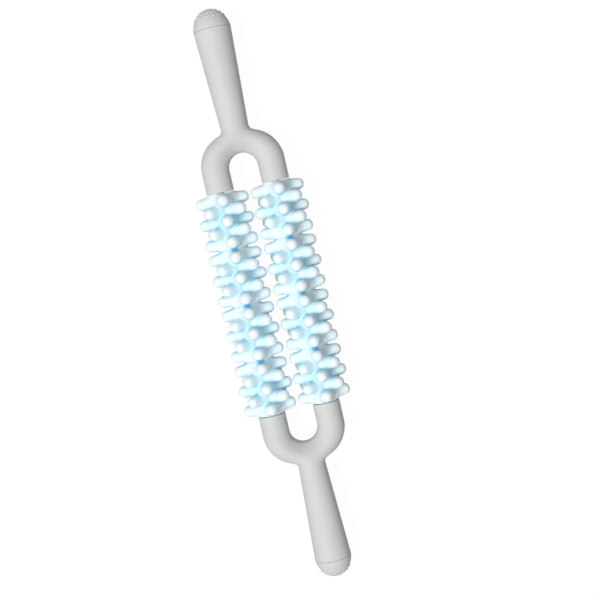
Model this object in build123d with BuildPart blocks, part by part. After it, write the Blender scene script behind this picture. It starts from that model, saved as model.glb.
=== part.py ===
from build123d import *
from math import asin, cos, degrees, radians, sin, sqrt
import os

# A two-handed massage stick: two parallel rollers of spiky rubber wheels, held between two forked handles.
# Millimetres. +X runs along the stick to the upper grip, +Y to the left roller, +Z to the front.
# The origin is the middle of the stick, midway between the two rollers.

# Whole stick
overall_length = 460.0
roller_clearance = 1.1

# Spiky wheels: a rubber sleeve moulded on a hard hub
wheels_per_roller = 4
wheel_pitch = 44.65
rings_per_wheel = 5
spikes_per_ring = 4
ring_pitch = 8.2
spike_tip_radius = 21.6
end_ring_drop = 0.5
barrel_radius = 10.3
barrel_sides = 16
spike_sides = 8
spike_foot_radius = 5.5
spike_draft_angle = 4.0
spike_chamfer_width = 1.6
spike_chamfer_height = 2.6
sleeve_gap = 0.3
hub_radius = 7.3
hub_sides = 12
hub_end_play = 0.2
bearing_clearance = 0.08

# Axles, and the bushes and nuts that hold them in the arms
axle_radius = 3.0
axle_tail = 1.2
axle_chamfer = 0.8
nut_across_flats = 10.0
nut_height = 4.0
bush_length = 9.0
bush_collar_radius = 9.7
bush_collar_width = 2.4
bush_fit = 0.1
roller_running_gap = 0.4

# Forked handles, each in two halves
arm_radius = 10.85
arm_length = 15.5
shoulder_radius = 26.7
shoulder_shift = 1.7
bridge_half_depth = 10.6
neck_radius = 11.0
neck_fillet = 4.6
grip_radius = 14.75
wall = 2.2
bend_sections = 12
root_sections = 4
root_sink = 0.8

# End caps
cap_height = 16.4
dome_height = 5.3
dome_rim_share = 0.71
spigot_length = 8.0
spigot_wall = 1.8
spigot_fit = 0.1
cap_seam = 0.3

# Screws that close the two halves of a handle, driven from the rear
screw_radius = 1.4
screw_head_radius = 2.8
screw_head_height = 1.9
screw_seat_depth = 4.2
screw_bite = 6.5
screw_clearance = 0.25
counterbore_clearance = 0.35
front_boss_radius = 3.4
rear_boss_radius = 4.4
screw_bend_angle = 35.0
grip_screw_share = 0.55

# Worked out from the sizes above
axle_spacing = 2 * spike_tip_radius + roller_clearance
axle_offset = axle_spacing / 2
roller_half_length = wheels_per_roller * wheel_pitch / 2
arm_start = roller_half_length + roller_running_gap
bend_x = arm_start + arm_length
crotch_radius = axle_offset - arm_radius
fork_half_width = axle_offset + arm_radius
shoulder_x = bend_x + shoulder_shift
shoulder_offset = fork_half_width - shoulder_radius
fillet_offset = neck_radius + neck_fillet
fillet_reach = sqrt((shoulder_radius + neck_fillet) ** 2 - (fillet_offset - shoulder_offset) ** 2)
fillet_x = shoulder_x + fillet_reach
seam_x = overall_length / 2 - cap_height
dome_rim_x = overall_length / 2 - dome_height
dome_rim_radius = grip_radius * dome_rim_share
dome_radius = (dome_rim_radius**2 + dome_height**2) / (2 * dome_height)
dome_x = overall_length / 2 - dome_radius
dome_span = degrees(asin(dome_rim_radius / dome_radius))
spigot_radius = grip_radius - wall - spigot_fit
spigot_taper = spigot_length * (grip_radius - neck_radius) / (seam_x - fillet_x)
axle_half_length = arm_start + bush_length + nut_height + axle_tail
hub_length = wheel_pitch - hub_end_play
sleeve_length = wheel_pitch - sleeve_gap
cover = 2 * overall_length

os.makedirs("parts", exist_ok=True)


def save(piece, name):
    """Label a finished piece and write it as its own STEP file."""
    piece.label = name
    export_step(piece, f"parts/{name}.step")


def bend_reach(angle):
    """Distance from the crotch's centre to the fork's outer edge, angle degrees round from the arm."""
    turn = radians(angle)
    if shoulder_shift * cos(turn) > fork_half_width * sin(turn):
        return fork_half_width / cos(turn)
    along = shoulder_shift * sin(turn) + shoulder_offset * cos(turn)
    return along + sqrt(along**2 + shoulder_radius**2 - shoulder_shift**2 - shoulder_offset**2)


def bend_section(angle):
    """Middle radius, half width and half depth of the fork's tube, angle degrees round the bend."""
    quarter = min(angle, 180 - angle)
    reach = bend_reach(quarter)
    half_depth = arm_radius + (bridge_half_depth - arm_radius) * sin(radians(quarter))
    return (reach + crotch_radius) / 2, (reach - crotch_radius) / 2, half_depth


def oval(half_width, half_depth):
    """An ellipse drawn in quarters, so that all sections of a loft start at the same side."""
    with BuildSketch() as section:
        with BuildLine():
            for quarter_start in (0, 90, 180, 270):
                EllipticalCenterArc((0, 0), half_width, half_depth, start_angle=quarter_start, arc_size=90)
        make_face()
    return section.sketch


def handle_form(inset):
    """One forked handle as a closed form, drawn in by inset all round."""
    with BuildPart() as form:
        # Two straight arms
        with BuildSketch(Plane.YZ.offset(arm_start)):
            with Locations((axle_offset, 0), (-axle_offset, 0)):
                Circle(arm_radius - inset)
        extrude(amount=arm_length)

        # The bend that joins them, narrower at its crown
        for step in range(bend_sections + 1):
            angle = 180 * step / bend_sections
            middle, half_width, half_depth = bend_section(angle)
            outward = Vector(sin(radians(angle)), cos(radians(angle)), 0)
            along = Vector(cos(radians(angle)), -sin(radians(angle)), 0)
            with BuildSketch(Plane(Vector(bend_x, 0, 0) + outward * middle, x_dir=outward, z_dir=along)):
                add(oval(half_width - inset, half_depth - inset))
        loft()

        # The root of the grip, which follows the bend's shoulders and then draws in to the neck
        crown_middle, _, crown_half_depth = bend_section(90)
        tangent_share = fillet_reach / (shoulder_radius + neck_fillet)
        root_start = bend_x + crown_middle
        root_length = fillet_x - neck_fillet * tangent_share - root_start
        root_dive = neck_radius - crown_half_depth
        for step in range(root_sections):
            share = step / root_sections
            root_x = root_start + root_length * share
            shoulder_reach = shoulder_offset + sqrt(shoulder_radius**2 - (root_x - shoulder_x) ** 2)
            half_width = shoulder_reach - root_sink * (1 - share)
            half_depth = crown_half_depth - root_dive * (1 - 2 * share)
            with BuildSketch(Plane.YZ.offset(root_x)):
                add(oval(half_width - inset, half_depth - inset))
        for share in (tangent_share, tangent_share * 3 / 4, tangent_share * 2 / 5, 0):
            flare = neck_fillet * (1 - sqrt(1 - share**2))
            with BuildSketch(Plane.YZ.offset(fillet_x - neck_fillet * share)):
                add(oval(neck_radius + flare - inset, neck_radius - inset))
        loft()

        # The tapered grip
        with BuildSketch(Plane.XY):
            with BuildLine():
                Polyline(
                    (fillet_x, 0),
                    (fillet_x, neck_radius - inset),
                    (seam_x, grip_radius - inset),
                    (seam_x, 0),
                    close=True,
                )
            make_face()
        revolve(axis=Axis.X)
    return form.part


handle_outside = handle_form(0)
handle_mid_wall = handle_form(wall / 2)
handle_inside = handle_form(wall)

# Screws stand in both legs of the bend, at its crown and in the grip
leg_middle = bend_section(screw_bend_angle)[0]
leg_x = bend_x + leg_middle * sin(radians(screw_bend_angle))
leg_y = leg_middle * cos(radians(screw_bend_angle))
crown_x = bend_x + bend_section(90)[0]
grip_screw_x = fillet_x + (seam_x - fillet_x) * grip_screw_share
screw_points = [(leg_x, leg_y), (leg_x, -leg_y), (crown_x, 0), (grip_screw_x, 0)]


def screw_columns(radius):
    """Solid columns round the screws, ending inside the handle's wall."""
    with BuildPart() as columns:
        add(handle_mid_wall)
        with BuildSketch(Plane.XY.offset(-cover)):
            with Locations(*screw_points):
                Circle(radius)
        extrude(amount=2 * cover, mode=Mode.INTERSECT)
    return columns.part


# The grooves in both arms that hold the bush collars
collar_inset = (bush_length - bush_collar_width) / 2
with BuildPart() as collar_grooves:
    with BuildSketch(Plane.YZ.offset(arm_start + collar_inset)):
        with Locations((axle_offset, 0), (-axle_offset, 0)):
            Circle(bush_collar_radius)
    extrude(amount=bush_collar_width)

with BuildPart() as upper_front_shell:
    add(handle_outside)
    add(handle_inside, mode=Mode.SUBTRACT)
    add(screw_columns(front_boss_radius))
    add(collar_grooves.part, mode=Mode.SUBTRACT)
    with BuildSketch(Plane.XY.offset(-cover)):
        with Locations(*screw_points):
            Circle(screw_radius)
    extrude(amount=cover + screw_bite, mode=Mode.SUBTRACT)
    split(bisect_by=Plane.XY, keep=Keep.TOP)
save(upper_front_shell.part, "upper_front_shell")

with BuildPart() as upper_rear_shell:
    add(handle_outside)
    add(handle_inside, mode=Mode.SUBTRACT)
    add(screw_columns(rear_boss_radius))
    add(collar_grooves.part, mode=Mode.SUBTRACT)
    with BuildSketch(Plane.XY.offset(-screw_seat_depth)):
        with Locations(*screw_points):
            Circle(screw_head_radius + counterbore_clearance)
    extrude(amount=-cover, mode=Mode.SUBTRACT)
    with BuildSketch(Plane.XY.offset(-cover)):
        with Locations(*screw_points):
            Circle(screw_radius + screw_clearance)
    extrude(amount=2 * cover, mode=Mode.SUBTRACT)
    split(bisect_by=Plane.XY, keep=Keep.BOTTOM)
save(upper_rear_shell.part, "upper_rear_shell")

with BuildPart() as upper_shell_screws:
    with BuildSketch(Plane.XY.offset(-screw_seat_depth)):
        with Locations(*screw_points):
            Circle(screw_head_radius)
    extrude(amount=-screw_head_height)
    with BuildSketch(Plane.XY.offset(-screw_seat_depth)):
        with Locations(*screw_points):
            Circle(screw_radius)
    extrude(amount=screw_seat_depth + screw_bite)
save(upper_shell_screws.part, "upper_shell_screws")

# A domed cap, hollow, on a spigot that plugs into the end of the grip
with BuildPart() as upper_end_cap:
    with BuildSketch(Plane.XY):
        with BuildLine():
            dome = CenterArc((dome_x, 0), dome_radius, start_angle=0, arc_size=dome_span)
            flank = TangentArc(dome @ 1, (seam_x + cap_seam, grip_radius), tangent=dome % 1)
            Polyline(
                flank @ 1,
                (seam_x + cap_seam, spigot_radius),
                (seam_x - spigot_length, spigot_radius - spigot_taper),
                (seam_x - spigot_length, spigot_radius - spigot_taper - spigot_wall),
                (seam_x, spigot_radius - spigot_wall),
                (dome_rim_x, dome_rim_radius - 2 * wall),
                (dome_rim_x, 0),
                dome @ 0,
            )
        make_face()
    revolve(axis=Axis.X)
save(upper_end_cap.part, "upper_end_cap")

# The lower handle is the upper one, mirrored
for piece, name in (
    (upper_front_shell, "front_shell"),
    (upper_rear_shell, "rear_shell"),
    (upper_shell_screws, "shell_screws"),
    (upper_end_cap, "end_cap"),
):
    with BuildPart() as lower_piece:
        mirror(piece.part, about=Plane.YZ)
    save(lower_piece.part, f"lower_{name}")

# Axle, nuts and bushes of one roller, modelled on the stick's own axis
with BuildPart() as axle:
    with BuildSketch(Plane.YZ.offset(-axle_half_length)):
        Circle(axle_radius)
    extrude(amount=2 * axle_half_length)
    chamfer(axle.edges().filter_by(GeomType.CIRCLE), length=axle_chamfer)

with BuildPart() as axle_nuts:
    with BuildSketch(Plane.YZ.offset(arm_start + bush_length)):
        RegularPolygon(nut_across_flats / 2, side_count=6, major_radius=False)
        Circle(axle_radius, mode=Mode.SUBTRACT)
    extrude(amount=nut_height)
    mirror(about=Plane.YZ)

with BuildPart() as upper_bush:
    with BuildSketch(Plane.YZ.offset(arm_start)):
        Circle(arm_radius - wall - bush_fit)
    extrude(amount=bush_length)
    with BuildSketch(Plane.YZ.offset(arm_start + collar_inset + bush_fit)):
        Circle(bush_collar_radius - bush_fit)
    extrude(amount=bush_collar_width - 2 * bush_fit)
    with BuildSketch(Plane.YZ):
        Circle(axle_radius)
    extrude(amount=cover, mode=Mode.SUBTRACT)

with BuildPart() as lower_bush:
    mirror(upper_bush.part, about=Plane.YZ)

# One wheel, modelled about the origin
with BuildPart() as wheel_hub:
    with BuildSketch(Plane.YZ.offset(-hub_length / 2)):
        RegularPolygon(hub_radius, side_count=hub_sides)
        Circle(axle_radius + bearing_clearance, mode=Mode.SUBTRACT)
    extrude(amount=hub_length)


def spike(tip_radius):
    """One blunt spike of the wheel, standing out along +X from the wheel's axis."""
    root = Plane.YZ.offset(hub_radius + (barrel_radius - hub_radius) / 4)
    with BuildPart() as form:
        with BuildSketch(root):
            RegularPolygon(spike_foot_radius, side_count=spike_sides)
        extrude(amount=tip_radius - root.origin.X)
        draft(form.faces().filter_by(Axis.X, reverse=True), root, spike_draft_angle)
        tip = form.faces().sort_by(Axis.X)[-1]
        chamfer(tip.edges(), length=spike_chamfer_width, length2=spike_chamfer_height, reference=tip)
    return form.part


middle_spike = spike(spike_tip_radius)
end_spike = spike(spike_tip_radius - end_ring_drop)

with BuildPart() as wheel_sleeve:
    with BuildSketch(Plane.YZ.offset(-sleeve_length / 2)):
        RegularPolygon(barrel_radius, side_count=barrel_sides, rotation=180 / barrel_sides)
    extrude(amount=sleeve_length)
    for ring in range(rings_per_wheel):
        ring_x = (ring - (rings_per_wheel - 1) / 2) * ring_pitch
        half_step = 180 / spikes_per_ring * (ring % 2)
        with Locations(Plane.YZ.offset(ring_x)):
            with PolarLocations(0, spikes_per_ring, start_angle=half_step):
                add(end_spike if ring in (0, rings_per_wheel - 1) else middle_spike)
    with BuildSketch(Plane.YZ.offset(-sleeve_length / 2)):
        RegularPolygon(hub_radius, side_count=hub_sides)
    extrude(amount=sleeve_length, mode=Mode.SUBTRACT)

# Both rollers, with their wheels numbered from the upper end
for side_name, side in (("left", 1), ("right", -1)):
    axis_place = Location((0, side * axle_offset, 0))
    save(axle.part.moved(axis_place), f"{side_name}_axle")
    save(axle_nuts.part.moved(axis_place), f"{side_name}_axle_nuts")
    save(upper_bush.part.moved(axis_place), f"upper_{side_name}_bush")
    save(lower_bush.part.moved(axis_place), f"lower_{side_name}_bush")
    for number in range(1, wheels_per_roller + 1):
        wheel_x = roller_half_length - (number - 1 / 2) * wheel_pitch
        wheel_place = Location((wheel_x, side * axle_offset, 0))
        save(wheel_hub.part.moved(wheel_place), f"{side_name}_hub_{number}")
        save(wheel_sleeve.part.moved(wheel_place), f"{side_name}_sleeve_{number}")
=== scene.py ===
# %% [markdown]
# # A spiky massage stick, dressed for the camera
#
# The stick has two forked handles of matte grey ABS and two rollers of soft pale blue rubber. Each roller
# is a row of four short wheels, and each wheel spins on its own. The solids come from the CAD model with
# their real sizes. These cells give them their finish, and remake the pieces whose fine form a plain solid
# can't hold: the rounded rubber spikes, the soft edges of the moulded shells, the nubs on the end caps and
# the screws on the rear.
#
# All lengths are in metres. X runs along the stick to the upper grip, Y to the left roller and Z to the
# front.

# %% Load the frame
import math

import bmesh
import bpy
from mathutils import Matrix, Vector


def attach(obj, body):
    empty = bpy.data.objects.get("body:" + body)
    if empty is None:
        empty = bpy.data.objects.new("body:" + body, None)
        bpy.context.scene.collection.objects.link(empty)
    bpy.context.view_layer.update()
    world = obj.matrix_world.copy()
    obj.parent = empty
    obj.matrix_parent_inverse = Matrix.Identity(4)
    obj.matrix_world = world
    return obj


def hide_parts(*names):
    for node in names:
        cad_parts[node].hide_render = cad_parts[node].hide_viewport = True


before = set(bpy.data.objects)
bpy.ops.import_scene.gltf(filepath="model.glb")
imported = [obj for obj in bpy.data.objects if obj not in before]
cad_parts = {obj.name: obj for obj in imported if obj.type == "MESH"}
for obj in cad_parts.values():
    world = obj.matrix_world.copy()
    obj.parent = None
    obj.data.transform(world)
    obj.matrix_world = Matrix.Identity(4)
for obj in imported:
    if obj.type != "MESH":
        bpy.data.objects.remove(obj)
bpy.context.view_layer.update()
scene = bpy.context.scene
scene.view_settings.view_transform = "Standard"
mm = 0.001

# %% [markdown]
# ## Small helpers
#
# Colours are picked as sRGB hex values, as in any paint program, but the shaders work on linear light, so
# one function converts them. Another adds a node to a tree, sets its properties, and fills or links its
# sockets. Three more do what every piece needs: start a material, put an object in the scene, and turn an
# object and all its modifiers into a plain mesh.


# %% Helpers for colours and nodes
def linear(hex_colour):
    """A hex colour such as #D4D2D0 as the linear RGBA that shaders use."""
    channels = [int(hex_colour[i : i + 2], 16) / 255 for i in (1, 3, 5)]
    return [c / 12.92 if c <= 0.04045 else ((c + 0.055) / 1.055) ** 2.4 for c in channels] + [1]


def add_node(tree, kind, inputs=None, **settings):
    """Add a node. An input is a value, an output to link, or a node, which stands for its first output."""
    node = tree.nodes.new(kind)
    for name, value in settings.items():
        setattr(node, name, value)
    for socket, value in (inputs or {}).items():
        if isinstance(value, bpy.types.Node):
            value = value.outputs[0]
        if isinstance(value, bpy.types.NodeSocket):
            tree.links.new(value, node.inputs[socket])
        else:
            node.inputs[socket].default_value = value
    return node


print("handle grey in linear light:", [round(c, 3) for c in linear("#D4D2D0")])


# %% Helpers for materials and objects
def empty_material(name):
    """A new material, and its node tree with nothing in it."""
    material = bpy.data.materials.new(name)
    material.use_nodes = True
    material.node_tree.nodes.clear()
    return material, material.node_tree


def in_scene(name, data):
    """A new object for the data, linked to the scene."""
    thing = bpy.data.objects.new(name, data)
    scene.collection.objects.link(thing)
    return thing


def plain_mesh(thing):
    """What the modifiers make of an object, as a mesh of its own. The object itself is removed."""
    mesh = bpy.data.meshes.new_from_object(thing.evaluated_get(bpy.context.evaluated_depsgraph_get()))
    bpy.data.objects.remove(thing)
    return mesh


print("CAD nodes to dress:", len(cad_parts))

# %% [markdown]
# ## The camera
#
# The photograph looks almost straight down on the stick's front. The stick is rolled about 13 degrees in
# the picture, and its upper end comes a little nearer. A camera's own axes are its right, its up and the
# direction back towards the photographer. They are turned step by step here, and then the camera stands off
# along the last. The focal length was measured in pixels of the picture, and the lens takes it in
# millimetres.

# %% Place the camera
camera_roll = math.radians(12.829)
camera_tilt = math.radians(5.286)
camera_lean = math.radians(4.788)
camera_distance = 0.9897
camera_slide = (0.020685, -0.001456)
sensor_width = 36
focal_pixels = 1255.9
picture_pixels = 600

upright = Matrix(((0, -1, 0), (1, 0, 0), (0, 0, 1)))
rows = (
    Matrix.Rotation(camera_roll, 3, "Z")
    @ upright
    @ Matrix.Rotation(camera_tilt, 3, "Y").transposed()
    @ Matrix.Rotation(camera_lean, 3, "X")
)
camera_data = bpy.data.cameras.new("camera")
camera_data.sensor_width = sensor_width
camera_data.lens = sensor_width * focal_pixels / picture_pixels
camera = in_scene("camera", camera_data)
camera.matrix_world = rows.transposed().to_4x4()
camera.location = rows.transposed() @ Vector((*camera_slide, camera_distance))
scene.camera = camera
print("camera at", [round(v, 3) for v in camera.location], "lens", round(camera_data.lens, 2), "mm")

# %% [markdown]
# ## Floor and light
#
# The stick lies on its spikes on a white table. The floor's white is for the camera's eye alone, seen
# straight, mirrored or through glass. Most of it is then a plain white glow, and the rest stays an ordinary
# matte surface, so that the shadow still shows. For all other rays the floor is a mid grey matte table, so
# that it doesn't light up the underside more than a real one does.
#
# One broad key light stands in front, a little to the left and below the camera, so that the right flank of
# each spike falls into shade. The world fills that shade softly, and is plain white for the camera too.


# %% Build the floor
def seen_directly(tree):
    """1 for what the camera sees, straight, mirrored or through glass, and 0 for all other light."""
    rays = add_node(tree, "ShaderNodeLightPath").outputs
    first_two = {0: rays["Is Camera Ray"], 1: rays["Is Glossy Ray"]}
    seen = add_node(tree, "ShaderNodeMath", first_two, operation="MAXIMUM")
    return add_node(tree, "ShaderNodeMath", {0: seen, 1: rays["Is Transmission Ray"]}, operation="MAXIMUM")


floor_level = -21.6 * mm
floor_reach = 4.0
glow_share = 0.82
glow_strength = 1.18

signs = ((-1, -1), (1, -1), (1, 1), (-1, 1))
corners = [(x * floor_reach, y * floor_reach, floor_level) for x, y in signs]
floor_mesh = bpy.data.meshes.new("floor")
floor_mesh.from_pydata(corners, [], [(0, 1, 2, 3)])
floor = in_scene("floor", floor_mesh)
table_white, tree = empty_material("matte_white_table")
share = add_node(tree, "ShaderNodeMath", {0: seen_directly(tree), 1: glow_share}, operation="MULTIPLY")
matte = add_node(tree, "ShaderNodeBsdfDiffuse", {"Color": linear("#8C8C8C")})
glow = add_node(tree, "ShaderNodeEmission", {"Color": linear("#FFFFFF"), "Strength": glow_strength})
blend = add_node(tree, "ShaderNodeMixShader", {0: share, 1: matte, 2: glow})
add_node(tree, "ShaderNodeOutputMaterial", {"Surface": blend})
floor_mesh.materials.append(table_white)
print("floor at", round(floor_level / mm, 1), "mm")

# %% Light the stick
fill_strength = 0.42
key_strength = 2.3
key_width = math.radians(20)
key_direction = (-0.37, -0.26, 0.89)

world = bpy.data.worlds.new("studio")
world.use_nodes = True
tree = world.node_tree
tree.nodes.clear()
fill = add_node(tree, "ShaderNodeBackground", {"Color": linear("#F2F9FF"), "Strength": fill_strength})
white = add_node(tree, "ShaderNodeBackground", {"Color": linear("#FFFFFF"), "Strength": 1.0})
blend = add_node(tree, "ShaderNodeMixShader", {0: seen_directly(tree), 1: fill, 2: white})
add_node(tree, "ShaderNodeOutputWorld", {"Surface": blend})
scene.world = world

key_data = bpy.data.lights.new("key", "SUN")
key_data.energy = key_strength
key_data.angle = key_width
key = in_scene("key", key_data)
towards_key = rows.transposed() @ Vector(key_direction)
key.rotation_mode = "QUATERNION"
key.rotation_quaternion = towards_key.to_track_quat("Z", "Y")
print("key light from", [round(v, 2) for v in towards_key])

# %% [markdown]
# ## The rubber
#
# The wheels' sleeves are thermoplastic rubber, TPR, moulded in a pale blue and slightly milky. Light goes a
# millimetre or two into it and comes out again bluer, because red is swallowed first, so the rubber's shade
# is blue. Scattering could draw that, but it would need far more samples. Here a little of it softens the
# shading, and painted shade does the rest. The colour is painted a deeper blue where neighbouring spikes
# close off the view, which an Ambient Occlusion node measures, and a little deeper again towards the barrel,
# at the feet of the spikes. So the open tips are painted almost white and the hollows between the spikes are
# painted blue. The mould's real grain is finer than a pixel of the picture. It is drawn about a millimetre
# wide, which only just shows.

# %% Mix the rubber
axle_offset = 22.15 * mm
# Sizes of the painted shade: how far the occlusion looks, its range, and where it deepens towards the barrel
painted_shade_reach = 12 * mm
closed, open_wide = 0.1, 0.9
radial_shade_inner, radial_shade_outer = 10.5 * mm, 19 * mm
radial_shade_share = 0.88
rubber_grain = 0.9 * mm

tpr, tree = empty_material("pale_blue_moulded_tpr")
place = add_node(tree, "ShaderNodeTexCoord").outputs["Object"]
# Painted shade: the colour deepens where neighbouring spikes close off a point
shade_occlusion = add_node(tree, "ShaderNodeAmbientOcclusion", {"Distance": painted_shade_reach}, samples=12).outputs["AO"]
painted_shade_openness = add_node(tree, "ShaderNodeMapRange", {0: shade_occlusion, 1: closed, 2: open_wide, 3: 0.0, 4: 1.0})
axes = add_node(tree, "ShaderNodeSeparateXYZ", {0: place}).outputs
side = add_node(tree, "ShaderNodeMath", {0: axes["Y"]}, operation="ABSOLUTE")
side = add_node(tree, "ShaderNodeMath", {0: side, 1: axle_offset}, operation="SUBTRACT")
across = add_node(tree, "ShaderNodeCombineXYZ", {"Y": side, "Z": axes["Z"]})
radius = add_node(tree, "ShaderNodeVectorMath", {0: across}, operation="LENGTH").outputs["Value"]
# More painted shade: the colour deepens towards the barrel, at the feet of the spikes
by_radius = {0: radius, 1: radial_shade_inner, 2: radial_shade_outer, 3: radial_shade_share, 4: 1.0}
radial_shade = add_node(tree, "ShaderNodeMapRange", by_radius)
painted_shade_level = add_node(tree, "ShaderNodeMath", {0: painted_shade_openness, 1: radial_shade}, operation="MULTIPLY")
painted_shade_tint = add_node(tree, "ShaderNodeValToRGB", {0: painted_shade_level})
# From the painted shade blue of the hollows to the pale open tips
painted_shade_tint.color_ramp.elements[0].color = linear("#74C8E6")
painted_shade_tint.color_ramp.elements[1].color = linear("#F0FAFF")
for position, colour in ((0.33, "#88D1EC"), (0.62, "#DDF4FB")):
    painted_shade_tint.color_ramp.elements.new(position).color = linear(colour)
grain = add_node(tree, "ShaderNodeTexNoise", {"Vector": place, "Scale": 1 / rubber_grain, "Detail": 3.0})
bump_inputs = {"Strength": 0.05, "Distance": 0.1 * mm, "Height": grain.outputs["Fac"]}
rubber = add_node(
    tree,
    "ShaderNodeBsdfPrincipled",
    {
        "Base Color": painted_shade_tint,
        "Roughness": 0.4,
        "IOR": 1.49,
        "Specular IOR Level": 0.3,
        "Subsurface Weight": 0.5,
        "Subsurface Radius": (0.5, 0.8, 1.0),
        "Subsurface Scale": 2.5 * mm,
        "Normal": add_node(tree, "ShaderNodeBump", bump_inputs),
    },
)
add_node(tree, "ShaderNodeOutputMaterial", {"Surface": rubber})
print("rubber mixed:", tpr.name)

# %% [markdown]
# ## Turned forms
#
# The spikes, the caps, the nubs and the screws are all round, so each starts as an outline, a list of
# heights with the radius there. Blender's spin would do, but joining rings of points by hand keeps the mesh
# closed and its faces pointing outwards. The first is a spike. Its foot starts inside the barrel and flares
# towards it, and its tip is rounded, with a small flat on top.


# %% Turn an outline into a closed mesh, and turn one spike
def turned(name, outline, steps):
    """A closed mesh of the outline, a list of (height, radius), turned about Z. It ends on the axis twice."""
    form = bmesh.new()
    rings = []
    for height, radius in outline:
        if radius == 0:
            rings.append([form.verts.new((0, 0, height))])
            continue
        turns = [2 * math.pi * i / steps for i in range(steps)]
        rings.append([form.verts.new((radius * math.cos(t), radius * math.sin(t), height)) for t in turns])
    for low, high in zip(rings, rings[1:]):
        for i in range(steps):
            below = (low[i % len(low)], low[(i + 1) % len(low)])
            above = (high[(i + 1) % len(high)], high[i % len(high)])
            form.faces.new(list(dict.fromkeys(below + above)))  # on the axis two corners are one
    bmesh.ops.recalc_face_normals(form, faces=form.faces)
    mesh = bpy.data.meshes.new(name)
    form.to_mesh(mesh)
    form.free()
    return mesh


spike_tip_radius = 21.62 * mm
tip_rounding = 4.2 * mm
tip_flat = 0.35 * mm
tip_step = 10
spike_facets = 32
spike_foot = [(7.9, 0), (7.9, 7.6), (10.3, 6.5), (11.8, 5.5), (13.8, 5.0)]  # height and radius in mm

spike_outline = [(height * mm, radius * mm) for height, radius in spike_foot]
for turn in range(0, 90 + 1, tip_step):
    rise = tip_rounding * (1 - math.sin(math.radians(turn)))
    spike_outline.append((spike_tip_radius - rise, tip_flat + tip_rounding * math.cos(math.radians(turn))))
spike_outline.append((spike_tip_radius, 0))
spike_mesh = turned("spike", spike_outline, spike_facets)
print("spike:", len(spike_mesh.polygons), "faces")

# %% [markdown]
# ## A wheel of spikes, with Geometry Nodes
#
# The wheel is a rule: five rings of four spikes, and every second ring turned by half a step. Copying
# spikes by hand would work once, but a node tree keeps the rule open, so its sizes can be changed in the
# modifier. The tree makes one point for each spike, works out its ring and its turn from its number, and
# puts a spike there. The spikes of the two end rings are a little shorter. The barrel is a rectangle swept
# round a circle, which leaves the bore open.
#
# The barrel is a little longer than the finished wheel, because the smoothing that follows would round its
# ends. No point may lie past its two end planes. The ends are cut later.


# %% Start the wheel's tree
def new_tree(name, enters, sizes, leaves):
    """A Geometry Nodes tree with its sockets, and the value for each size under its socket's identifier."""
    tree = bpy.data.node_groups.new(name, "GeometryNodeTree")
    tree.interface.new_socket(enters, in_out="INPUT", socket_type="NodeSocketGeometry")
    values = {}
    for size, (kind, value) in sizes.items():
        socket = tree.interface.new_socket(size, in_out="INPUT", socket_type=kind)
        values[socket.identifier] = value
    tree.interface.new_socket(leaves, in_out="OUTPUT", socket_type="NodeSocketGeometry")
    return tree, values


wheel_sizes = {
    "Rings": ("NodeSocketInt", 5),
    "Spikes per ring": ("NodeSocketInt", 4),
    "Ring pitch": ("NodeSocketFloat", 8.2 * mm),
    "End ring share": ("NodeSocketFloat", 0.977),
    "Barrel radius": ("NodeSocketFloat", 10.3 * mm),
    "Bore radius": ("NodeSocketFloat", 7.4 * mm),
    "Length": ("NodeSocketFloat", 46 * mm),
    "Rubber": ("NodeSocketMaterial", tpr),
}
wheel, wheel_values = new_tree("spiky_wheel", "Spike", wheel_sizes, "Wheel")
given = add_node(wheel, "NodeGroupInput").outputs
print("wheel tree with", len(wheel_values), "values to set")

# %% Give each spike its place, turn and height
# One point for each spike, at its ring's place along the wheel
rings_of_spikes = {0: given["Rings"], 1: given["Spikes per ring"]}
count = add_node(wheel, "ShaderNodeMath", rings_of_spikes, operation="MULTIPLY")
points = add_node(wheel, "GeometryNodeMeshLine", {"Count": count, "Offset": (0, 0, 0)})
number = add_node(wheel, "GeometryNodeInputIndex")
ring = add_node(wheel, "ShaderNodeMath", {0: number, 1: given["Spikes per ring"]}, operation="DIVIDE")
ring = add_node(wheel, "ShaderNodeMath", {0: ring}, operation="FLOOR")
last = add_node(wheel, "ShaderNodeMath", {0: given["Rings"], 1: 1.0}, operation="SUBTRACT")
middle = add_node(wheel, "ShaderNodeMath", {0: last, 1: 2.0}, operation="DIVIDE")
from_middle = add_node(wheel, "ShaderNodeMath", {0: ring, 1: middle}, operation="SUBTRACT")
along = add_node(wheel, "ShaderNodeMath", {0: from_middle, 1: given["Ring pitch"]}, operation="MULTIPLY")
place = add_node(wheel, "ShaderNodeCombineXYZ", {"X": along})
placed = add_node(wheel, "GeometryNodeSetPosition", {"Geometry": points, "Position": place})

# Its turn about the axle, half a step more on every second ring
step = add_node(wheel, "ShaderNodeMath", {0: 2 * math.pi, 1: given["Spikes per ring"]}, operation="DIVIDE")
odd = add_node(wheel, "ShaderNodeMath", {0: ring, 1: 2.0}, operation="MODULO")
half = add_node(wheel, "ShaderNodeMath", {0: odd, 1: 2.0}, operation="DIVIDE")
steps = add_node(wheel, "ShaderNodeMath", {0: number, 1: half}, operation="ADD")
turn = add_node(wheel, "ShaderNodeMath", {0: steps, 1: step}, operation="MULTIPLY")
euler = add_node(wheel, "ShaderNodeCombineXYZ", {"X": turn})
rotation = add_node(wheel, "FunctionNodeEulerToRotation", {0: euler})

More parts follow.
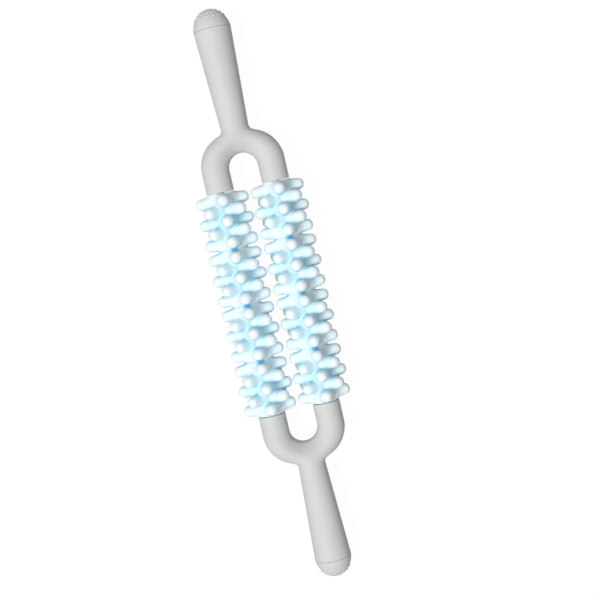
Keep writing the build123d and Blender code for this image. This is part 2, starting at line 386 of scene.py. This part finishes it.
# Its height, a little less on the two end rings
outer = add_node(wheel, "ShaderNodeMath", {0: from_middle}, operation="ABSOLUTE")
at_end = add_node(wheel, "ShaderNodeMath", {0: outer, 1: middle, 2: 0.1}, operation="COMPARE")
by_end = {0: at_end, 1: 0.0, 2: 1.0, 3: 1.0, 4: given["End ring share"]}
height = add_node(wheel, "ShaderNodeMapRange", by_end)
scale = add_node(wheel, "ShaderNodeCombineXYZ", {"X": 1.0, "Y": 1.0, "Z": height})
spikes = add_node(
    wheel,
    "GeometryNodeInstanceOnPoints",
    {"Points": placed, "Instance": given["Spike"], "Rotation": rotation, "Scale": scale},
)
print("spikes placed with", len(wheel.nodes), "nodes")

# %% Sweep the barrel and join the spikes to it
# The barrel's wall is swept round a circle through its middle, and laid along X
barrel_facets = 96
two_radii = {0: given["Barrel radius"], 1: given["Bore radius"]}
mean = add_node(wheel, "ShaderNodeMath", two_radii, operation="ADD")
mean = add_node(wheel, "ShaderNodeMath", {0: mean, 1: 2.0}, operation="DIVIDE")
wall = add_node(wheel, "ShaderNodeMath", two_radii, operation="SUBTRACT")
circle = add_node(wheel, "GeometryNodeCurvePrimitiveCircle", {"Resolution": barrel_facets, "Radius": mean})
section_sides = {"Width": wall, "Height": given["Length"]}
section = add_node(wheel, "GeometryNodeCurvePrimitiveQuadrilateral", section_sides)
barrel = add_node(wheel, "GeometryNodeCurveToMesh", {0: circle, "Profile Curve": section})
lying = add_node(wheel, "GeometryNodeTransform", {"Geometry": barrel, "Rotation": (0, math.pi / 2, 0)})

# Both together, with every point held between the end planes
together = add_node(wheel, "GeometryNodeJoinGeometry")
wheel.links.new(spikes.outputs[0], together.inputs[0])
wheel.links.new(lying.outputs[0], together.inputs[0])
real = add_node(wheel, "GeometryNodeRealizeInstances", {"Geometry": together})
spot = add_node(wheel, "ShaderNodeSeparateXYZ", {0: add_node(wheel, "GeometryNodeInputPosition")}).outputs
end_plane = add_node(wheel, "ShaderNodeMath", {0: given["Length"], 1: 2.0}, operation="DIVIDE")
other_plane = add_node(wheel, "ShaderNodeMath", {0: end_plane, 1: -1.0}, operation="MULTIPLY")
held = add_node(wheel, "ShaderNodeClamp", {"Value": spot["X"], "Min": other_plane, "Max": end_plane})
spot = add_node(wheel, "ShaderNodeCombineXYZ", {"X": held, "Y": spot["Y"], "Z": spot["Z"]})
flush = add_node(wheel, "GeometryNodeSetPosition", {"Geometry": real, "Position": spot})
dyed = add_node(wheel, "GeometryNodeSetMaterial", {"Geometry": flush, "Material": given["Rubber"]})
add_node(wheel, "NodeGroupOutput", {0: dyed})
print("wheel tree:", len(wheel.nodes), "nodes")

# %% [markdown]
# ## Out of the mould
#
# The spikes and the barrel still pass through each other. In the mould they are one cavity, with a soft
# fillet at each foot. A Bevel modifier would need clean edges where the forms cross, and there are none. A
# voxel remesh needs no edges and joins all into one skin, and a few rounds of smoothing melt the sharp
# corners into fillets. That is what makes rubber and plastic look moulded, so one function does it for
# every moulded piece.


# %% Functions for moulded pieces
def add_rule(thing, tree, values):
    """Grow a tree on an object, with a value for each of its sizes, set by the socket's identifier."""
    rule = thing.modifiers.new("rule", "NODES")
    rule.node_group = tree
    for identifier, value in values.items():
        rule[identifier] = value


def moulded(name, mesh, voxel, rounds, tree=None, values=None):
    """One closed skin round a mesh, or round the tree grown on it, melted by rounds of smoothing."""
    mould = in_scene(name, mesh)
    if tree:
        add_rule(mould, tree, values)
    skin = mould.modifiers.new("one skin", "REMESH")
    skin.mode = "VOXEL"
    skin.voxel_size = voxel
    melt = mould.modifiers.new("fillets", "SMOOTH")
    melt.factor = 0.5
    melt.iterations = rounds
    result = plain_mesh(mould)
    result.name = name
    result.shade_smooth()
    low = [round(min(v.co[axis] for v in result.vertices) / mm, 2) for axis in range(3)]
    high = [round(max(v.co[axis] for v in result.vertices) / mm, 2) for axis in range(3)]
    print(f"{name}: {len(result.polygons)} faces, from {low} to {high}")
    return result


wheel_mesh = moulded("spiky_wheel", spike_mesh, voxel=0.5 * mm, rounds=16, tree=wheel, values=wheel_values)

# %% [markdown]
# ## The wheel's two ends
#
# Neighbouring wheels run face to face, so their ends are flat, and the seam between them is a hairline. The
# smoothing has rounded the ends of the barrel, so they are faced as on a lathe: a plane cuts off what lies
# past the wheel's real length, and the open rim is filled with triangles. A Boolean modifier could cut them
# too, but a plane leaves one clean rim. Only the edges of that cut stay sharp.

# %% Face the wheel's two ends
wheel_length = 44.53 * mm
sharp_turn = math.radians(50)
form = bmesh.new()
form.from_mesh(wheel_mesh)
for end in (1, -1):
    everything = form.verts[:] + form.edges[:] + form.faces[:]
    end_face = {"plane_co": (end * wheel_length / 2, 0, 0), "plane_no": (end, 0, 0)}
    cut = bmesh.ops.bisect_plane(form, geom=everything, clear_outer=True, **end_face)
    rim = [part for part in cut["geom_cut"] if isinstance(part, bmesh.types.BMEdge)]
    bmesh.ops.triangle_fill(form, edges=rim, use_beauty=True)
bmesh.ops.recalc_face_normals(form, faces=form.faces)
for face in form.faces:
    face.smooth = True
open_edges = sum(not edge.is_manifold for edge in form.edges)
form.to_mesh(wheel_mesh)
form.free()
wheel_mesh.set_sharp_from_angle(angle=sharp_turn)
print("wheel faced to", round(wheel_length / mm, 2), "mm,", open_edges, "open edges")

# %% [markdown]
# ## Eight wheels on two axles
#
# All eight wheels come out of one mould, so each sleeve is a copy of the same mesh, moved to its place on
# its axle. An Array modifier would be shorter, but its copies are one object, and here each sleeve rides on
# its own wheel, so that it turns with it. The move goes into the mesh, and the object stays at the origin,
# where the CAD's own objects are.


# %% Put the eight wheels on their axles
def placed_piece(name, mesh, material, body, node):
    """A finished piece: an object with its material, riding on its body in place of the CAD node."""
    mesh.materials.clear()
    mesh.materials.append(material)
    piece = in_scene(name, mesh)
    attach(piece, body)
    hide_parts(node)


wheels_per_roller = 4
wheel_pitch = 44.65 * mm
for side_name, side in (("left", 1), ("right", -1)):
    for number in range(1, wheels_per_roller + 1):
        along = ((wheels_per_roller + 1) / 2 - number) * wheel_pitch
        mesh = wheel_mesh.copy()
        mesh.transform(Matrix.Translation((along, side * axle_offset, 0)))
        name = f"{side_name}_spiky_sleeve_{number}"
        body = f"{side_name}_wheel_{number}"
        placed_piece(name, mesh, tpr, body, f"{side_name}_sleeve_{number}")
print("eight sleeves on their wheels")

# %% [markdown]
# ## The handle plastic
#
# The handles are ABS, injection moulded in a light neutral grey. The mould's cavity was spark eroded, which
# leaves a fine matte grain, so highlights spread wide and soft. A real grain is about a tenth of a
# millimetre, and this one is drawn three times as coarse, so that a close view shows it. One flat grey
# would be simpler, but looks like paint, so the grey drifts a little over each two centimetres, as a
# moulded colour does.

# %% Mix the plastic
plastic_drift = 18 * mm
plastic_grain = 0.35 * mm

abs_grey, tree = empty_material("light_grey_moulded_abs")
place = add_node(tree, "ShaderNodeTexCoord").outputs["Object"]
clouds = add_node(tree, "ShaderNodeTexNoise", {"Vector": place, "Scale": 1 / plastic_drift, "Detail": 2.0})
tone = add_node(tree, "ShaderNodeValToRGB", {0: clouds.outputs["Fac"]})
tone.color_ramp.elements[0].color = linear("#CFCDCB")
tone.color_ramp.elements[1].color = linear("#D4D2D0")
grain = add_node(tree, "ShaderNodeTexNoise", {"Vector": place, "Scale": 1 / plastic_grain, "Detail": 2.0})
bump_inputs = {"Strength": 0.08, "Distance": 0.03 * mm, "Height": grain.outputs["Fac"]}
plastic = add_node(
    tree,
    "ShaderNodeBsdfPrincipled",
    {
        "Base Color": tone,
        "Roughness": 0.55,
        "IOR": 1.53,
        "Specular IOR Level": 0.12,
        "Normal": add_node(tree, "ShaderNodeBump", bump_inputs),
    },
)
add_node(tree, "ShaderNodeOutputMaterial", {"Surface": plastic})
print("plastic mixed:", abs_grey.name)

# %% [markdown]
# ## The handle shells
#
# Each handle is two half shells that meet in a parting line round its sides. The CAD solid has the true
# form, but its edges are knife sharp, and its grip meets the fork in a faint crease. A moulded shell has
# neither. Bevelling the edges would leave the crease. So each shell is copied, its loose triangles are
# merged, and the copy goes through the mould function. The rounded rims then make the parting line by
# themselves, where the two halves meet. After that, a smoothing that works only round the root of the grip,
# and fades out towards the rims, melts the crease.
#
# The photograph's shading also shows that the bridge of the fork is thinner beside the hole between the
# arms. Two small rules on the place of a point say where to smooth, and how thin the bridge is.

# %% Say where the root and the bridge are, in millimetres
root_start = (117, 124)
root_end = (137, 143)
rim_fade = (1.5, 4.5)
bend_centre = 105.2
hole_radius = 11.3
bridge_drop = 0.34
drop_fade = (2, 13)


def ramp(value, low, high):
    """0 below low, 1 above high, and a smooth rise between them."""
    share = min(max((value - low) / (high - low), 0), 1)
    return share * share * (3 - 2 * share)


def root_weight(point):
    """How far a point lies in the soft root between fork and grip, from 0 to 1."""
    along = abs(point.x) / mm
    return ramp(along, *root_start) * (1 - ramp(along, *root_end)) * ramp(abs(point.z) / mm, *rim_fade)


def bridge_share(point):
    """How much of its depth the bridge keeps: it slopes down towards the hole between the arms."""
    along, across = abs(point.x) / mm - bend_centre, point.y / mm
    from_centre = math.hypot(along, across)
    if along <= 0 or from_centre == 0:
        return 1
    return 1 - bridge_drop * (along / from_centre) ** 2 * (1 - ramp(from_centre - hole_radius, *drop_fade))


print("root weight at the crown:", round(root_weight(Vector((0.128, 0, 0.01))), 2))
print("bridge share at the hole:", round(bridge_share(Vector((0.1165, 0, 0))), 2))


# %% Mould the four shells
def softened_root(mesh, rounds):
    """Smooth the mesh round the root of the grip alone."""
    blank = in_scene("blank", mesh)
    group = blank.vertex_groups.new(name="root")
    for vertex in mesh.vertices:
        weight = root_weight(vertex.co)
        if weight > 0:
            group.add([vertex.index], weight, "REPLACE")
    melt = blank.modifiers.new("root", "SMOOTH")
    melt.vertex_group = group.name
    melt.factor = 0.5
    melt.iterations = rounds
    return plain_mesh(blank)


weld = 0.002 * mm
for end in ("upper", "lower"):
    for half in ("front", "rear"):
        shell = f"{end}_{half}_shell"
        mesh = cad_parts[shell].data.copy()
        form = bmesh.new()
        form.from_mesh(mesh)
        bmesh.ops.remove_doubles(form, verts=form.verts, dist=weld)
        for vertex in form.verts:
            vertex.co.z *= bridge_share(vertex.co)
        form.to_mesh(mesh)
        form.free()
        mesh = moulded(f"{shell}_skin", mesh, voxel=0.5 * mm, rounds=3)
        mesh = softened_root(mesh, rounds=90)
        mesh.shade_smooth()
        placed_piece(f"{end}_{half}_moulded_shell", mesh, abs_grey, "frame", shell)
print("four shells moulded")

# %% [markdown]
# ## The end caps
#
# Each grip ends in a domed cap that is pressed into it, with a thin seam. Its end is studded with small
# round nubs for acupressure. A squashed sphere comes close to a cap, but an outline gives its flank and its
# dome each their own radius. So the cap is turned, from a short plug inside the grip over a gently curved
# flank to a dome. A nub is turned too, with a base that sinks into the dome.

# %% Turn the cap and one nub
cap_plug = [(205.6, 0), (205.6, 12.0), (213.66, 12.3), (213.66, 14.75)]  # height and radius in mm
flank_radius = 18.36 * mm
flank_centre = (212.3 * mm, -3.57 * mm)
flank_start_lean = math.radians(86.3)
flank_steps = 12
dome_radius = 13.7 * mm
dome_centre = 215.2 * mm
dome_rim_lean = math.radians(50.0)
dome_steps = 16
cap_facets = 96

cap_outline = [(height * mm, radius * mm) for height, radius in cap_plug]
for i in range(1, flank_steps + 1):
    lean = flank_start_lean + (dome_rim_lean - flank_start_lean) * i / flank_steps
    height = flank_centre[0] + flank_radius * math.cos(lean)
    cap_outline.append((height, flank_centre[1] + flank_radius * math.sin(lean)))
for i in range(1, dome_steps):
    lean = dome_rim_lean * (1 - i / dome_steps)
    cap_outline.append((dome_centre + dome_radius * math.cos(lean), dome_radius * math.sin(lean)))
cap_outline.append((dome_centre + dome_radius, 0))
cap_body = turned("cap_body", cap_outline, cap_facets)
cap_body.transform(Matrix.Rotation(math.pi / 2, 4, "Y"))

nub_facets = 20
nub_foot = [(-0.8, 0), (-0.8, 1.15), (0.1, 1.15)]  # in mm
nub_dome = [(0.35, 1.02), (0.52, 0.78), (0.63, 0.45), (0.66, 0)]  # in mm
nub_outline = [(height * mm, radius * mm) for height, radius in nub_foot + nub_dome]
nub_mesh = turned("nub", nub_outline, nub_facets)
nub = bpy.data.objects.new("nub", nub_mesh)
print("cap:", len(cap_body.polygons), "faces, nub:", len(nub_mesh.polygons), "faces")

# %% [markdown]
# ## Rings of nubs, with Geometry Nodes
#
# The nubs stand in rings of 6, 12, 18 and 24 round one nub at the pole. That is again a rule, so it is a
# node tree. Ring r holds 6r nubs, and the nub with number 3r(r + 1) is the last in it. Solved for r, that
# gives each nub's ring from its number n: (sqrt(12n + 9) - 3) / 6, rounded up. The nub's place in its ring
# gives its turn round the pole, and each ring leans out by the same angle more.

# %% Start the nub tree, and number its rings
nub_pitch = 3.3 * mm
nub_sizes = {
    "Nub": ("NodeSocketObject", nub),
    "Rings": ("NodeSocketInt", 4),
    "Lean per ring": ("NodeSocketFloat", nub_pitch / dome_radius),
    "Dome radius": ("NodeSocketFloat", dome_radius),
    "Dome centre": ("NodeSocketFloat", dome_centre),
    "Plastic": ("NodeSocketMaterial", abs_grey),
}
nubs, nub_values = new_tree("nub_rings", "Cap", nub_sizes, "Studded cap")
given = add_node(nubs, "NodeGroupInput").outputs

# One point for each nub: 3r(r + 1) in r rings, and the one at the pole
next_ring = add_node(nubs, "ShaderNodeMath", {0: given["Rings"], 1: 1.0}, operation="ADD")
pairs = add_node(nubs, "ShaderNodeMath", {0: given["Rings"], 1: next_ring}, operation="MULTIPLY")
count = add_node(nubs, "ShaderNodeMath", {0: pairs, 1: 3.0, 2: 1.0}, operation="MULTIPLY_ADD")
points = add_node(nubs, "GeometryNodeMeshLine", {"Count": count, "Offset": (0, 0, 0)})

# Its ring, its place in the ring, its turn round the pole and its lean
number = add_node(nubs, "GeometryNodeInputIndex")
ring = add_node(nubs, "ShaderNodeMath", {0: number, 1: 12.0, 2: 9.0}, operation="MULTIPLY_ADD")
ring = add_node(nubs, "ShaderNodeMath", {0: ring}, operation="SQRT")
ring = add_node(nubs, "ShaderNodeMath", {0: ring, 1: 3.0}, operation="SUBTRACT")
ring = add_node(nubs, "ShaderNodeMath", {0: ring, 1: 6.0}, operation="DIVIDE")
ring = add_node(nubs, "ShaderNodeMath", {0: ring}, operation="CEIL")
ring_before = add_node(nubs, "ShaderNodeMath", {0: ring, 1: 1.0}, operation="SUBTRACT")
inside = add_node(nubs, "ShaderNodeMath", {0: ring, 1: ring_before}, operation="MULTIPLY")
inside = add_node(nubs, "ShaderNodeMath", {0: inside, 1: 3.0, 2: 1.0}, operation="MULTIPLY_ADD")
in_ring = add_node(nubs, "ShaderNodeMath", {0: number, 1: inside}, operation="SUBTRACT")
share = add_node(nubs, "ShaderNodeMath", {0: in_ring, 1: ring}, operation="DIVIDE")
around = add_node(nubs, "ShaderNodeMath", {0: share, 1: math.pi / 3}, operation="MULTIPLY")
lean = add_node(nubs, "ShaderNodeMath", {0: ring, 1: given["Lean per ring"]}, operation="MULTIPLY")
print("nubs numbered with", len(nubs.nodes), "nodes")

# %% Set the nubs on the dome
# The direction from the dome's centre, and the point there on the dome
forward = add_node(nubs, "ShaderNodeMath", {0: lean}, operation="COSINE")
outward = add_node(nubs, "ShaderNodeMath", {0: lean}, operation="SINE")
around_y = add_node(nubs, "ShaderNodeMath", {0: around}, operation="COSINE")
around_z = add_node(nubs, "ShaderNodeMath", {0: around}, operation="SINE")
part_y = add_node(nubs, "ShaderNodeMath", {0: outward, 1: around_y}, operation="MULTIPLY")
part_z = add_node(nubs, "ShaderNodeMath", {0: outward, 1: around_z}, operation="MULTIPLY")
direction = add_node(nubs, "ShaderNodeCombineXYZ", {"X": forward, "Y": part_y, "Z": part_z})
by_radius = {0: direction, "Scale": given["Dome radius"]}
on_dome = add_node(nubs, "ShaderNodeVectorMath", by_radius, operation="SCALE")
centre = add_node(nubs, "ShaderNodeCombineXYZ", {"X": given["Dome centre"]})
on_dome = add_node(nubs, "ShaderNodeVectorMath", {0: on_dome, 1: centre}, operation="ADD")
placed = add_node(nubs, "GeometryNodeSetPosition", {"Geometry": points, "Position": on_dome})

# A nub on each point, and the cap below them
outwards = add_node(nubs, "FunctionNodeAlignRotationToVector", {"Vector": direction}, axis="Z")
shape = add_node(nubs, "GeometryNodeObjectInfo", {"Object": given["Nub"]}).outputs["Geometry"]
stud_inputs = {"Points": placed, "Instance": shape, "Rotation": outwards}
studs = add_node(nubs, "GeometryNodeInstanceOnPoints", stud_inputs)
together = add_node(nubs, "GeometryNodeJoinGeometry")
nubs.links.new(studs.outputs[0], together.inputs[0])
nubs.links.new(given["Cap"], together.inputs[0])
real = add_node(nubs, "GeometryNodeRealizeInstances", {"Geometry": together})
dyed = add_node(nubs, "GeometryNodeSetMaterial", {"Geometry": real, "Material": given["Plastic"]})
add_node(nubs, "NodeGroupOutput", {0: dyed})
print("nub tree:", len(nubs.nodes), "nodes")

# %% Mould both caps
cap_mesh = moulded("studded_cap", cap_body, voxel=0.3 * mm, rounds=3, tree=nubs, values=nub_values)
for end, half_turn in (("upper", 0), ("lower", math.pi)):
    mesh = cap_mesh.copy()
    mesh.transform(Matrix.Rotation(half_turn, 4, "Z"))
    placed_piece(f"{end}_studded_cap", mesh, abs_grey, "frame", f"{end}_end_cap")
bpy.data.objects.remove(nub)
print("two caps pressed in")

# %% [markdown]
# ## The metal
#
# The screws are zinc plated steel, which looks bright but a little cloudy, and the axles and their nuts are
# drawn steel, with fine lines along the axle. A metal's colour is its reflection, so the base colour is
# light and the roughness decides how sharp the studio shows in it. A photograph of metal could be wrapped
# round them, but a stretched noise needs no picture and keeps a real size. Both patterns are a little
# coarser than the real ones, so that they show.


# %% Mix the two metals
def steel(name, colour, roughness, grain):
    """A steel whose roughness drifts between two limits, over a pattern with its own grain on each axis."""
    material, tree = empty_material(name)
    place = add_node(tree, "ShaderNodeTexCoord").outputs["Object"]
    stretched = add_node(tree, "ShaderNodeMapping", {"Vector": place, "Scale": [1 / size for size in grain]})
    pattern = add_node(tree, "ShaderNodeTexNoise", {"Vector": stretched, "Scale": 1.0, "Detail": 3.0})
    pattern = pattern.outputs["Fac"]
    rough = add_node(tree, "ShaderNodeMapRange", {0: pattern, 3: roughness[0], 4: roughness[1]})
    bump = add_node(tree, "ShaderNodeBump", {"Strength": 0.1, "Distance": 0.02 * mm, "Height": pattern})
    looks = {"Base Color": linear(colour), "Metallic": 1.0, "Roughness": rough, "Normal": bump}
    metal = add_node(tree, "ShaderNodeBsdfPrincipled", looks)
    add_node(tree, "ShaderNodeOutputMaterial", {"Surface": metal})
    return material


def finish_nodes(names, material):
    """Give CAD nodes whose shape is right their material."""
    for name in names:
        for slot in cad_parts[name].material_slots:
            slot.material = material
    print(material.name, "on", len(names), "nodes")


zinc = steel("zinc_plated_steel", "#C9CBCE", roughness=(0.28, 0.45), grain=(0.8 * mm, 0.8 * mm, 0.8 * mm))
drawn = steel("drawn_steel_rod", "#B9BABC", roughness=(0.22, 0.4), grain=(20 * mm, 0.15 * mm, 0.15 * mm))
finish_nodes(["left_axle", "left_axle_nuts", "right_axle", "right_axle_nuts"], drawn)

# %% [markdown]
# ## The screws
#
# Four pan head screws close each handle from the rear. The head is turned. A dark cross in the material
# would be quick, but a real recess has depth and shade, so it is cut with two boxes, one for each bar of
# the cross. A small tree puts one screw on each of the four points, each with its recess turned a little
# further, as a screwdriver leaves them.

# %% Make one screw
screw_facets = 32
screw_head = [(-6.1, 0), (-6.1, 1.1), (-5.98, 1.8), (-5.6, 2.45), (-5.1, 2.75), (-4.2, 2.8)]  # in mm
screw_shank = [(-4.2, 1.4), (6.0, 1.4), (6.5, 0.8), (6.5, 0)]  # in mm
recess_reach = 3.0 * mm
recess_width = 0.75 * mm
recess_height = 2.2 * mm
recess_level = -6.0 * mm

screw_outline = [(height * mm, radius * mm) for height, radius in screw_head + screw_shank]
screw = in_scene("screw", turned("screw", screw_outline, screw_facets))
bars = []
for length, width in ((recess_reach, recess_width), (recess_width, recess_reach)):
    level = Matrix.Translation((0, 0, recess_level))
    form = bmesh.new()
    bmesh.ops.create_cube(form, size=1, matrix=level @ Matrix.Diagonal((length, width, recess_height, 1)))
    bar_mesh = bpy.data.meshes.new("bar")
    form.to_mesh(bar_mesh)
    form.free()
    bar = in_scene("bar", bar_mesh)
    cut = screw.modifiers.new("bar", "BOOLEAN")
    cut.operation = "DIFFERENCE"
    cut.object = bar
    bars.append(bar)
one_screw = plain_mesh(screw)
for bar in bars:
    bpy.data.objects.remove(bar)
print("one screw:", len(one_screw.polygons), "faces")

# %% Grow the screw tree
screw = bpy.data.objects.new("screw", one_screw)
screw_sizes = {
    "Screw": ("NodeSocketObject", screw),
    "Turn": ("NodeSocketFloat", 0.6),
    "Steel": ("NodeSocketMaterial", zinc),
}
driven, screw_values = new_tree("screws_on_points", "Points", screw_sizes, "Screws")
given = add_node(driven, "NodeGroupInput").outputs
number = add_node(driven, "GeometryNodeInputIndex")
twist = add_node(driven, "ShaderNodeMath", {0: number, 1: given["Turn"]}, operation="MULTIPLY")
euler = add_node(driven, "ShaderNodeCombineXYZ", {"Z": twist})
rotation = add_node(driven, "FunctionNodeEulerToRotation", {0: euler})
shape = add_node(driven, "GeometryNodeObjectInfo", {"Object": given["Screw"]}).outputs["Geometry"]
set_in_inputs = {"Points": given["Points"], "Instance": shape, "Rotation": rotation}
set_in = add_node(driven, "GeometryNodeInstanceOnPoints", set_in_inputs)
real = add_node(driven, "GeometryNodeRealizeInstances", {"Geometry": set_in})
dyed = add_node(driven, "GeometryNodeSetMaterial", {"Geometry": real, "Material": given["Steel"]})
add_node(driven, "NodeGroupOutput", {0: dyed})
print("screw tree:", len(driven.nodes), "nodes")

# %% Drive the screws
screw_points = [(117.831, 18.039), (117.831, -18.039), (124.673, 0), (179.034, 0)]  # X and Y in mm
screw_sharp_turn = math.radians(35)
for end, side in (("upper", 1), ("lower", -1)):
    spots = bpy.data.meshes.new("screw_points")
    spots.from_pydata([(side * x * mm, y * mm, 0) for x, y in screw_points], [], [])
    holder = in_scene("screw_holder", spots)
    add_rule(holder, driven, screw_values)
    mesh = plain_mesh(holder)
    mesh.shade_smooth()
    mesh.set_sharp_from_angle(angle=screw_sharp_turn)
    placed_piece(f"{end}_pan_head_screws", mesh, zinc, "frame", f"{end}_shell_screws")
bpy.data.objects.remove(screw)
print("eight screws driven")

# %% [markdown]
# ## The hidden plastic
#
# The hubs inside the rubber and the bushes in the arms are acetal, the slippery plastic of small bearings.
# Here it is dyed mid grey, and the grey is partly painted shade: the bush draws the thin dark line of shade
# where an arm meets its wheel. It is slightly waxy, so it gets a soft gloss, with marks of the mould that are
# drawn wide enough to show. So little of it is seen that the CAD's own meshes do, and only take the finish.

# %% Mix the acetal
acetal_marks = 0.6 * mm

acetal, tree = empty_material("grey_moulded_acetal")
place = add_node(tree, "ShaderNodeTexCoord").outputs["Object"]
marks = add_node(tree, "ShaderNodeTexNoise", {"Vector": place, "Scale": 1 / acetal_marks, "Detail": 2.0})
marks = marks.outputs["Fac"]
tone = add_node(tree, "ShaderNodeValToRGB", {0: marks})
# The mid grey is partly painted shade, the dark line where an arm meets its wheel
tone.color_ramp.elements[0].color = linear("#7F8284")
tone.color_ramp.elements[1].color = linear("#8B8E90")
bump = add_node(tree, "ShaderNodeBump", {"Strength": 0.06, "Distance": 0.05 * mm, "Height": marks})
looks = {"Base Color": tone, "Roughness": 0.35, "IOR": 1.48, "Normal": bump}
waxy = add_node(tree, "ShaderNodeBsdfPrincipled", looks)
add_node(tree, "ShaderNodeOutputMaterial", {"Surface": waxy})

acetal_nodes = [f"{end}_{side_name}_bush" for end in ("upper", "lower") for side_name in ("left", "right")]
for side_name in ("left", "right"):
    acetal_nodes += [f"{side_name}_hub_{number}" for number in range(1, wheels_per_roller + 1)]
finish_nodes(acetal_nodes, acetal)
